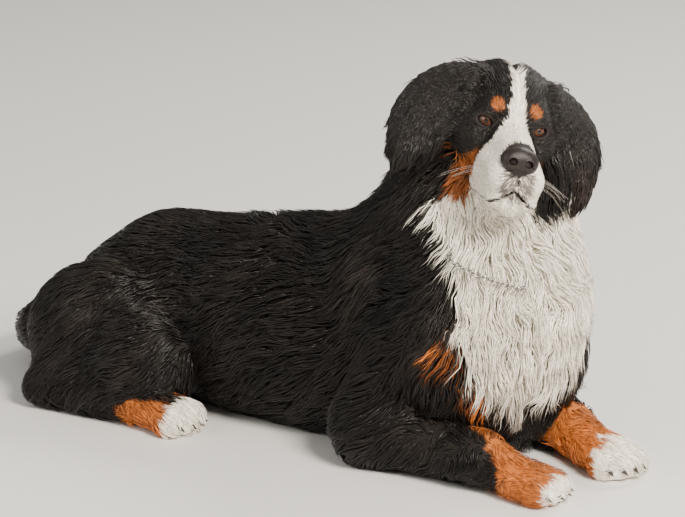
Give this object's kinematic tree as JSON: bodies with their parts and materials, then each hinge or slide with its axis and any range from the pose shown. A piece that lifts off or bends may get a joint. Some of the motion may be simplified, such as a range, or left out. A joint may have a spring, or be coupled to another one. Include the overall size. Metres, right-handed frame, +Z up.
{
  "type": "bernese mountain dog",
  "caption": "Life-size model of a Bernese mountain dog lying on its chest, head raised and turned to its right, in a fine silver chain collar.",
  "frame": {"origin": "on the floor, under the middle of the whole dog's bounding box", "axes": "+X the way the chest points, from tail to forepaws; +Y the dog's left; +Z up"},
  "size_m": [1.1918, 0.5046, 0.6201],
  "materials": {
    "coat_black": "long glossy black hair",
    "coat_rust": "short rust-brown hair",
    "coat_white": "cream-white hair",
    "nose_leather": "moist dark pebbled skin",
    "eye_brown": "glossy dark brown",
    "claw_horn": "dark horn",
    "chain_silver": "fine polished links"
  },
  "bodies": {
    "root": {"claw_fore_left_1": "claw_horn", "claw_fore_left_2": "claw_horn", "claw_fore_left_3": "claw_horn", "claw_fore_left_4": "claw_horn", "claw_hind_left_1": "claw_horn", "claw_hind_left_2": "claw_horn", "claw_hind_left_3": "claw_horn", "claw_hind_left_4": "claw_horn", "claw_fore_right_1": "claw_horn", "claw_fore_right_2": "claw_horn", "claw_fore_right_3": "claw_horn", "claw_fore_right_4": "claw_horn", "claw_hind_right_1": "claw_horn", "claw_hind_right_2": "claw_horn", "claw_hind_right_3": "claw_horn", "claw_hind_right_4": "claw_horn", "collar_chain": "chain_silver", "eye_left": "eye_brown", "eye_right": "eye_brown", "nose": "nose_leather", "head": "coat_black", "ear_left": "coat_black", "ear_right": "coat_black", "forepaw_left": "coat_white", "forepaw_right": "coat_white", "hind_foot_left": "coat_rust", "hind_foot_right": "coat_rust", "foreleg_left": "coat_rust", "foreleg_right": "coat_rust", "thigh_left": "coat_black", "thigh_right": "coat_black", "torso": "coat_black", "neck": "coat_black", "tail": "coat_black"}
  },
  "joints": []
}
